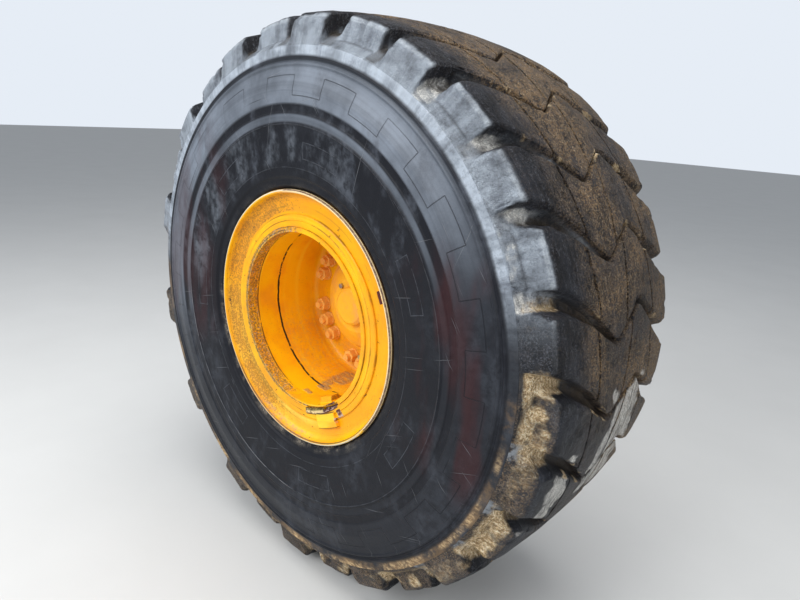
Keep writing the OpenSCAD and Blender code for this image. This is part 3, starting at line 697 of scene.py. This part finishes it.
def tread_rubber():
    s = Surface("tread_rubber")
    grit = s.noise(420, 21, 3, 0.75)
    sand = s.noise(200, 29, 4, 0.75)
    fine = s.noise(60, 22, 5, 0.7)
    patch = s.noise(11, 23, 4, 0.6)
    rub = s.noise(1, 24, 4, 0.65, stretch=(14, 90, 14))
    height = s.mask("height")
    face, clay, dust = s.mask("face"), s.mask("clay"), s.mask("dust")
    pale, bright = s.mask("pale"), s.mask("bright")
    # Brown dust with paler and greyer grains lies on the blocks and in the grooves.
    s.colour = s.mix(s.step(patch, 0.35, 0.7), (0.0065, 0.0072, 0.01), (0.024, 0.027, 0.036))
    pits = s.step(s.noise(230, 31, 3, 0.7), 0.46, 0.56)
    gritty = s.step(s.plus(s.times(sand, 0.62), s.times(fine, 0.16), s.times(rub, 0.22)), 0.47, 0.535)
    brown = s.times(dust, s.level(gritty, 0.06, 1), s.level(pits, 0.6, 1),
                    s.step(patch, 0.32, 0.58, 0.55, 1))
    s.paint(DUST, brown)
    grains = s.times(s.step(s.noise(240, 65, 3, 0.8), 0.54, 0.62), s.step(fine, 0.38, 0.54))
    s.paint((0.56, 0.43, 0.28), dust, grains, 0.85)
    s.paint((0.15, 0.165, 0.2), s.step(s.plus(s.times(sand, 0.6), s.times(grit, 0.4)), 0.5, 0.58),
            s.step(rub, 0.42, 0.58), s.level(dust, 0.55, 0.35))
    s.paint((0.08, 0.066, 0.05), s.step(height, 0.25, 0.05), s.step(fine, 0.25, 0.6), 0.6)
    # Painted silver sheen with grey dust on the sides of the lugs.
    amount, silver = silver_sheen_and_dust(s)
    face_sheen_and_dust = s.times(face, amount)
    s.paint(silver, face_sheen_and_dust)
    # Painted highlights along the shoulder's edge and at the mouths of the grooves.
    s.paint((0.6, 0.65, 0.7), s.ring(0.879, 0.0025, 0.006), face_sheen_and_dust, s.step(fine, 0.34, 0.56), 0.55)
    shine = s.times(bright, s.step(fine, 0.36, 0.58))
    s.paint((0.36, 0.4, 0.45), shine, 0.8)
    # Pale dust and a spill, with painted highlights in the groove mouths.
    chalk = s.broken(pale, s.noise(30, 26, 5, 0.75), 0.8, 0.22)
    s.paint(PALE_DUST_AND_HIGHLIGHT, chalk, s.step(rub, 0.38, 0.56, 0.4, 1), s.level(pits, 0.55, 1))
    mud_noise = s.noise(42, 27, 5, 0.75)
    straw = s.noise(1, 28, 4, 0.75, stretch=(60, 260, 130))
    mud = s.times(s.broken(clay, mud_noise, 0.9, 0.3), s.step(straw, 0.32, 0.54, 0.72, 1))
    mud_colour = s.mix(s.step(straw, 0.38, 0.56), (0.46, 0.3, 0.15), CLAY)
    mud_colour = s.mix(s.step(s.plus(s.times(grit, 0.5), s.times(straw, 0.5)), 0.49, 0.6), mud_colour,
                       (1.0, 0.92, 0.72))
    s.paint(mud_colour, mud)
    rough = s.level(s.most(brown, s.times(face_sheen_and_dust, 0.15)), 0.4, 0.85)
    rough = s.level(s.most(mud, chalk), rough, 0.95)
    skin = s.plus(s.times(grit, 0.3), s.times(sand, 1.2), s.times(pits, 0.3), fine, s.times(rub, 0.8))
    s.bump(skin, 0.0045)
    s.bump(s.times(mud, s.plus(straw, mud_noise)), 0.006)
    return s.done(rough, Specular_IOR_Level=s.level(s.most(face_sheen_and_dust, shine), 0.16, 0.45))


AMBER = (0.96, 0.5, 0.004)
AMBER_DEEP = (0.92, 0.385, 0.004)
AMBER_LIGHT = (0.98, 0.68, 0.035)
RUST = (0.15, 0.06, 0.024)
CREAM = (0.7, 0.61, 0.43)
WORN_METAL = (0.3, 0.27, 0.235)
SPLIT, PLATE = -67.5, -65.0  # angles of the lock ring's split and of the key's plate, in degrees
BACK = (-0.46, -0.3)         # places between which grime sets in towards the axle


def rim_paint():
    s = Surface("rim_paint")
    patch = s.noise(9, 41, 4, 0.6)
    fine = s.noise(90, 42, 5, 0.7)
    speck = s.plus(s.times(s.noise(150, 43, 3, 0.6), 0.4), s.times(s.noise(340, 58, 3, 0.7), 0.6))
    runs = s.noise(1, 45, 4, 0.6, at=s.round_about(26.0))
    s.colour = s.mix(s.step(patch, 0.36, 0.66), AMBER, AMBER_DEEP)
    s.paint(AMBER_LIGHT, s.step(runs, 0.52, 0.7), 0.5)
    left = s.towards(176, 62, 30)
    low = s.towards(-95, 55, 30)
    outer = s.step(s.y, -0.722, -0.728)
    dish = s.times(s.annulus(0.334, 0.342, 0.39, 0.398), outer)
    # Brown speckle, thick in the left of the dish.
    thick = s.plus(s.times(dish, left, s.step(patch, 0.3, 0.62, 0.6, 1), 0.15), s.times(low, 0.02))
    freckle = s.step(s.plus(speck, thick), 0.6, 0.68)
    film = s.times(s.step(s.plus(patch, s.times(left, dish, 0.2)), 0.5, 0.78), 0.5)
    # Painted shade makes the dish redder above and painted light makes it paler below, under a brown film.
    s.paint((0.86, 0.33, 0.006), dish, s.towards(122, 40, 30), 0.7)
    s.paint((0.98, 0.72, 0.11), dish, s.towards(-125, 34, 34), s.step(runs, 0.35, 0.6, 0.4, 1), 0.85)
    s.paint((0.74, 0.33, 0.03), film)
    s.paint((0.3, 0.12, 0.016), freckle, 0.72)
    face = s.times(s.step(s.radius, 0.4, 0.392), outer)
    dark_spots = s.times(s.step(s.noise(60, 44, 2, 0.5), 0.7, 0.73), face)
    s.paint((0.06, 0.03, 0.018), dark_spots)
    # Dirt and rust in the joints between the rings.
    joints = s.most(s.ring(0.3113, 0.001, 0.0022), s.ring(0.3303, 0.001, 0.003),
                    s.ring(0.2917, 0.0008, 0.0022), s.times(s.ring(0.3555, 0.0012, 0.003), 0.5))
    # Painted shade darkens the ring faces on the right to a deeper orange.
    s.paint((0.8, 0.34, 0.003), s.step(s.radius, 0.36, 0.35), outer, s.towards(5, 62, 30),
            s.step(runs, 0.34, 0.6, 1.0, 0.35), 0.6)
    s.paint((0.2, 0.105, 0.016), joints, outer, s.step(s.noise(7, 46, 4, 0.7), 0.44, 0.62, 0.1, 1), 0.62)
    # The inner edge of the gutter and the barrel behind it.
    edge = s.times(s.step(s.radius, 0.293, 0.289), s.step(s.y, -0.701, -0.709), s.level(left, 0.3, 1))
    edge_wear = s.times(s.broken(edge, s.noise(60, 55, 5, 0.75), 1.3, 0.15), s.step(speck, 0.44, 0.54))
    corner = s.times(s.ring(0.2925, 0.001, 0.0016), outer, left, s.step(fine, 0.36, 0.48))
    edge_wear = s.most(edge_wear, corner)
    s.paint(s.mix(s.step(fine, 0.5, 0.62), (0.13, 0.07, 0.026), WORN_METAL), edge_wear, 0.8)
    # The key in the split, worn bare: cream and olive on its left, dark with painted highlights on its right.
    key_angle = s.math("SUBTRACT", s.angle, math.radians(SPLIT))
    tilt = s.plus(s.radius, s.times(key_angle, 0.034))
    key_span = s.times(s.towards(SPLIT, 15.4, 1.4), s.step(s.y, -0.728, -0.733))
    strip = s.times(s.near(tilt, 0.2945, 0.0085, 0.002), key_span)
    flake = s.noise(1, 47, 4, 0.7, at=s.round_about(150.0))
    bare = s.broken(strip, s.noise(75, 62, 4, 0.7), 1.1, 0.12)
    key_right = s.step(s.plus(key_angle, s.swing(flake, 0.16)), 0.0, 0.05)
    lower_part = s.step(tilt, 0.2925, 0.295)
    streaky = s.plus(s.times(flake, 0.45), s.times(fine, 0.55))
    olive = s.mix(s.step(streaky, 0.47, 0.54), (0.1, 0.064, 0.02), (0.42, 0.32, 0.12))
    cream_part = s.mix(s.step(streaky, 0.43, 0.51), (0.22, 0.12, 0.035), (0.84, 0.66, 0.34))
    dark_part = s.mix(s.step(streaky, 0.51, 0.57), (0.08, 0.032, 0.03), (0.6, 0.42, 0.36))
    s.paint(s.mix(key_right, s.mix(lower_part, olive, cream_part), dark_part), bare)
    under = s.times(s.near(tilt, 0.305, 0.0012, 0.0014), key_span, s.step(fine, 0.3, 0.44, 0.5, 1))
    notch = s.times(s.near(tilt, 0.2835, 0.0012, 0.0016), key_span, s.step(fine, 0.4, 0.5))
    s.paint((0.09, 0.026, 0.014), s.most(under, notch), 0.92)
    # The gutter's back edge and corner are flaked on the left.
    s.paint((0.06, 0.034, 0.018), s.near(s.plus(s.y, s.swing(patch, 0.012)), -0.701, 0.0018, 0.0016),
            s.step(s.radius, 0.3, 0.292), left, s.step(s.noise(34, 57, 4, 0.7), 0.36, 0.5), 0.85)
    flaked = s.noise(64, 64, 4, 0.75)
    s.paint(s.mix(s.step(flaked, 0.54, 0.62), (0.085, 0.048, 0.024), (0.42, 0.34, 0.25)),
            s.ring(0.2836, 0.0016, 0.0014), s.step(s.y, -0.727, -0.733), s.towards(200, 90, 14),
            s.step(flaked, 0.4, 0.5), 0.9)
    # The seam between the barrel and the skirt of the disc.
    wander = s.swing(s.noise(26, 56, 3, 0.6), 0.008)
    s.paint((0.03, 0.018, 0.012), s.near(s.plus(s.y, wander), -0.6125, 0.0032, 0.0014), s.towards(183, 92, 8),
            s.step(s.noise(16, 48, 3, 0.75), 0.42, 0.47))
    # The boss behind the split is redder with painted shade inside the barrel, and has dark edges.
    boss = s.times(s.step(s.radius, 0.273, 0.271), s.step(s.y, -0.64, -0.645))
    s.paint(s.mix(s.step(fine, 0.46, 0.6), (0.9, 0.36, 0.004), (0.86, 0.3, 0.004)), boss, 0.8)
    boss_edge = s.most(s.near(s.y, -0.685, 0.001, 0.0014),
                       s.near(s.angle, math.radians(PLATE - 6.3), 0.004, 0.005),
                       s.near(s.angle, math.radians(PLATE + 6.3), 0.004, 0.005))
    s.paint((0.16, 0.075, 0.012), boss, boss_edge, s.step(flake, 0.36, 0.46), 0.7)
    # Dried dirt that lies in the bottom of the barrel.
    inside = s.times(s.step(s.radius, 0.3, 0.285), s.step(s.y, -0.62, -0.6))
    barrel = s.times(s.step(s.radius, 0.286, 0.284), s.step(s.radius, 0.27, 0.274))
    puddle_mask = s.times(s.most(s.times(s.towards(-95, 2.5, 6), s.near(s.y, -0.51, 0.026, 0.04)),
                                 s.times(s.towards(-97, 1.2, 3), s.near(s.y, -0.565, 0.03, 0.02), 0.7),
                                 s.times(s.towards(-94, 2.6, 3), s.near(s.y, -0.612, 0.008, 0.012)),
                                 s.times(s.towards(-96, 1.5, 3), s.near(s.y, -0.676, 0.005, 0.01), 0.6)),
                          barrel)
    slant = s.plus(s.noise(1, 49, 4, 0.7, stretch=(26, 60, 26)), s.times(s.noise(70, 59, 3, 0.7), 0.35))
    puddle = s.times(s.broken(puddle_mask, slant, 0.9, 0.4), s.step(slant, 0.52, 0.74, 0.35, 1))
    s.paint(s.mix(s.step(speck, 0.4, 0.6), (0.3, 0.18, 0.09), (0.4, 0.27, 0.16)), puddle, 0.75)
    s.paint((0.55, 0.32, 0.12), inside, low, s.step(fine, 0.4, 0.7), 0.35)
    # Grime on the side towards the axle.
    patchy = s.plus(s.noise(7, 61, 5, 0.65), s.times(low, 0.14))
    grime = s.times(s.step(s.y, *BACK), s.step(patchy, 0.44, 0.68), s.level(fine, 0.55, 1))
    s.paint((0.18, 0.118, 0.066), grime, 0.75)
    # The rolled lip: chipped to cream primer on the left and below, worn to metal on the right.
    lip_face = s.step(s.y, -0.735, -0.742)
    lip = s.times(s.annulus(0.3992, 0.401, 0.4046, 0.4056), lip_face)
    chip_noise = s.noise(48, 50, 4, 0.65)
    cream = s.broken(s.times(lip, s.level(s.towards(205, 95, 35), 0.2, 0.8)), chip_noise, 1.0, 0.1)
    s.paint(CREAM, cream)
    right = s.towards(30, 62, 14)
    tip = s.step(s.y, -0.738, -0.744)
    # Painted shade, reddish, low on the right of the dish near the lip.
    s.paint((0.9, 0.33, 0.004), s.towards(-18, 62, 26), s.ring(0.37, 0.007, 0.012), outer,
            s.step(runs, 0.36, 0.56, 0.45, 0.85))
    # Scuffed metal between two bright rails.
    band = s.times(s.ring(0.4034, 0.0022, 0.0008), tip, right)
    scuffed = s.broken(s.times(band, 0.9), s.noise(1, 51, 4, 0.65, stretch=(20, 50, 34)), 0.6, 0.1)
    dots = s.step(s.plus(s.times(fine, 0.5), s.times(speck, 0.5)), 0.46, 0.56)
    s.paint(s.mix(dots, (0.085, 0.05, 0.045), (0.3, 0.21, 0.15)), scuffed, 0.95)
    inner_rail = s.times(s.ring(0.3985, 0.0026, 0.001), tip, right, s.step(chip_noise, 0.32, 0.42))
    outer_rail = s.times(s.step(s.radius, 0.4054, 0.406), s.step(s.y, -0.75, -0.7508), right,
                         s.step(chip_noise, 0.3, 0.38))
    s.paint(s.mix(fine, (0.8, 0.6, 0.3), (1.0, 0.82, 0.5)), s.most(inner_rail, outer_rail))
    # Dark edges and a stain below.
    low_edge = s.times(s.ring(0.3972, 0.0009, 0.0012), s.towards(-75, 62, 16), lip_face)
    rim_edge = s.times(s.step(s.radius, 0.4044, 0.4054), s.inverse(outer_rail),
                       s.most(s.times(right, s.step(s.y, -0.7508, -0.75)),
                              s.step(s.noise(30, 52, 3, 0.6), 0.4, 0.54)))
    s.paint((0.07, 0.036, 0.02), s.most(low_edge, rim_edge), 0.85)
    s.paint((0.42, 0.24, 0.17), s.ring(0.392, 0.004, 0.004), s.towards(-101, 15, 8), outer,
            s.step(flaked, 0.42, 0.6), 0.55)
    # The torn rusty end of the key's plate.
    plate_face = s.step(s.y, -0.73, -0.737)
    s.paint(AMBER_LIGHT, s.ring(0.3293, 0.022, 0.002), s.towards(PLATE, 7.6, 0.8), plate_face, 0.6)
    torn = s.times(s.most(s.times(s.towards(-52.5, 1.4, 1.2), s.ring(0.318, 0.012, 0.005)),
                          s.times(s.towards(-55, 2.2, 1.4), s.ring(0.333, 0.006, 0.004))), plate_face)
    torn = s.broken(torn, s.noise(85, 53, 4, 0.75), 2.6, 0.1)
    bits = s.most(s.step(s.noise(60, 63, 3, 0.7), 0.5, 0.56), s.ring(0.307, 0.002, 0.002),
                  s.ring(0.333, 0.0015, 0.002))
    s.paint(s.mix(bits, s.mix(s.step(streaky, 0.48, 0.54), (0.3, 0.17, 0.12), (0.58, 0.42, 0.33)),
                  (0.1, 0.03, 0.018)), torn)
    s.paint((0.93, 0.34, 0.006), s.towards(-54, 5, 8), s.ring(0.347, 0.008, 0.012), plate_face, 0.75)
    s.paint((0.09, 0.045, 0.02), s.most(s.ring(0.3055, 0.0009, 0.0012), s.ring(0.353, 0.0009, 0.0012)),
            s.towards(PLATE, 8.2, 0.6), plate_face, 0.8)
    # A chip of dark paint on the dish, up on the right.
    chip = s.times(s.ring(0.3635, 0.0035, 0.0045), s.near(s.angle, math.radians(25.0), 0.04, 0.022), outer)
    chip = s.broken(chip, s.noise(90, 54, 3, 0.6), 0.9, 0.08)
    s.paint((0.085, 0.016, 0.012), chip)
    bare_all = s.most(edge_wear, bare, scuffed, freckle, puddle, torn, grime)
    rough = s.level(s.most(bare_all, film), 0.34, 0.72)
    s.bump(s.plus(s.times(fine, 0.6), patch), 0.0007)
    s.bump(s.most(cream, edge_wear, dark_spots, chip, freckle), -0.0006)
    s.bump(s.times(puddle, s.plus(speck, 0.6)), 0.003)
    return s.done(rough, Specular_IOR_Level=s.level(bare_all, 0.24, 0.4), Metallic=s.times(bare, 0.5))


def casting_paint(name, base, deep, seed, wear):
    """Paint over a casting, with dust in its hollows and small rust spots."""
    s = Surface(name)
    patch = s.noise(12, seed, 4, 0.6)
    fine = s.noise(110, seed + 1, 4, 0.7)
    skin = s.noise(300, seed + 2, 3, 0.7)
    s.colour = s.mix(s.step(patch, 0.36, 0.68), base, deep)
    dust = s.times(s.step(s.plus(patch, s.times(fine, 0.4)), 0.66, 0.92), 0.4)
    s.paint((0.7, 0.42, 0.18), dust)
    rust = s.step(s.plus(fine, s.times(patch, 0.3)), 0.9, 0.95)
    s.paint(RUST, rust, 0.9)
    s.paint((0.92, 0.62, 0.28), s.step(s.noise(150, seed + 3, 4, 0.65), 0.66 - wear, 0.72 - wear),
            min(1.0, 0.3 + 3 * wear))
    # Grime on the side towards the axle, and the bare machined face that meets it.
    grime = s.times(s.step(s.y, *BACK), s.step(s.noise(9, seed + 5, 5, 0.65), 0.42, 0.66),
                    s.level(fine, 0.55, 1))
    s.paint((0.17, 0.112, 0.064), grime, 0.75)
    bare = s.step(s.y, -0.0016, -0.0004)
    turned = s.noise(1, seed + 6, 3, 0.6, at=s.round_about(260.0))
    s.paint(s.mix(s.step(turned, 0.35, 0.65), (0.42, 0.4, 0.37), (0.28, 0.26, 0.24)), bare)
    s.bump(s.plus(patch, s.times(fine, 0.6)), 0.0008)
    s.bump(skin, 0.0005)
    return s.done(s.level(bare, s.level(s.most(dust, rust, grime), 0.42, 0.8), 0.38),
                  Metallic=s.times(bare, 0.85), Specular_IOR_Level=s.level(rust, 0.26, 0.4))


def steel(name, base, dull, rust, roughness, seed):
    s = Surface(name, Metallic=0.85)
    patch = s.noise(40, seed, 4, 0.65)
    turned = s.noise(1, seed + 1, 3, 0.6, at=s.round_about(300.0))
    s.colour = s.mix(s.step(patch, 0.35, 0.68), base, dull)
    spots = s.step(s.noise(120, seed + 2, 4, 0.7), 0.68 - rust, 0.78 - rust)
    s.paint(RUST, spots)
    s.bump(turned, 0.0002)
    s.bump(s.plus(patch, spots), 0.0006)
    return s.done(s.level(s.most(spots, s.times(patch, 0.5)), roughness, 0.85))

# Pieces and their finishes
FINISHES = {
    "tyre_rubber": sidewall_rubber(),
    "rim_paint": rim_paint(),
    "hub_paint": casting_paint("hub_paint", (0.96, 0.51, 0.03), (0.93, 0.42, 0.018), 60, 0.0),
    "worn_paint": casting_paint("nut_paint", (0.94, 0.51, 0.12), (0.9, 0.43, 0.06), 64, 0.1),
    "bare_steel": steel("machined_steel", (0.5, 0.47, 0.43), (0.3, 0.27, 0.24), 0.00, 0.34, 70),
    "worn_steel": steel("rusty_steel", (0.3, 0.25, 0.21), (0.16, 0.12, 0.09), 0.1, 0.5, 74),
    "brass": steel("dull_brass", (0.52, 0.36, 0.13), (0.3, 0.2, 0.08), -0.1, 0.38, 78),
}
for piece, material in ((tyre_casing(), FINISHES["tyre_rubber"]), (tyre_tread(), tread_rubber())):
    piece.data.materials.append(material)
    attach(piece, "wheel")
    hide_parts("tyre")

for part in frame["record"]["subparts"]:
    thing = frame["nodes"][part["node"]]
    thing.data.materials.clear()
    thing.data.materials.append(FINISHES[part["material_slot"]])
    soften = thing.modifiers.new("soft edges", "BEVEL")
    soften.width = 0.0012
    soften.segments = 2
    soften.limit_method = "ANGLE"
    soften.angle_limit = math.radians(40)


# Stage, light and camera
def floor_material():
    s = Surface("floor")
    s.colour = s.mix(s.noise(2, 90, 5, 0.6), (0.6, 0.6, 0.59), (0.66, 0.66, 0.65))
    return s.done(s.level(s.noise(60, 91), 0.75, 0.9))


def stage():
    bpy.ops.mesh.primitive_plane_add(size=60, location=(0, 0, FLOOR_Z))
    floor = bpy.context.object
    floor.name = "floor"
    floor.data.materials.append(floor_material())


def world():
    w = bpy.data.worlds.new("sky")
    bpy.context.scene.world = w
    w.use_nodes = True
    nodes, links = w.node_tree.nodes, w.node_tree.links
    background = nodes["Background"]
    background.inputs["Color"].default_value = (0.86, 0.92, 1.0, 1)
    path = nodes.new("ShaderNodeLightPath")
    strength = nodes.new("ShaderNodeMapRange")
    strength.inputs["To Min"].default_value = 0.48
    strength.inputs["To Max"].default_value = 0.92
    links.new(path.outputs["Is Camera Ray"], strength.inputs["Value"])
    links.new(strength.outputs[0], background.inputs["Strength"])


def lamp(name, place, aim, size, power, colour):
    data = bpy.data.lights.new(name, "AREA")
    data.shape = "RECTANGLE"
    data.size, data.size_y = size
    data.energy = power
    data.color = colour
    thing = bpy.data.objects.new(name, data)
    thing.location = place
    thing.rotation_euler = (Vector(aim) - Vector(place)).to_track_quat("-Z", "Y").to_euler()
    bpy.context.scene.collection.objects.link(thing)


CAMERA_AXES = ((0.738, 0.672, 0.061), (-0.243, 0.181, 0.953), (0.629, -0.718, 0.297))  # right, up and back
CAMERA_PLACE = (1.404, -1.871, 0.639)


def camera():
    data = bpy.data.cameras.new("camera")
    data.lens, data.sensor_width = 27, 36
    thing = bpy.data.objects.new("camera", data)
    thing.matrix_world = Matrix([*zip(*CAMERA_AXES, CAMERA_PLACE), (0, 0, 0, 1)])
    bpy.context.scene.collection.objects.link(thing)
    bpy.context.scene.camera = thing


stage()
world()
lamp("overhead", (0.6, -0.9, 4.6), (0, -0.4, 0), (4.5, 3.5), 210, (1.0, 0.99, 0.97))
lamp("front", (-1.2, -4.6, 2.5), (0, -0.6, 0), (4.0, 2.6), 175, (0.98, 0.99, 1.0))
lamp("side", (3.8, -3.0, 1.5), (0.5, -0.7, -0.4), (2.6, 2.0), 50, (1.0, 0.98, 0.95))
camera()
bpy.context.scene.view_settings.view_transform = "Standard"
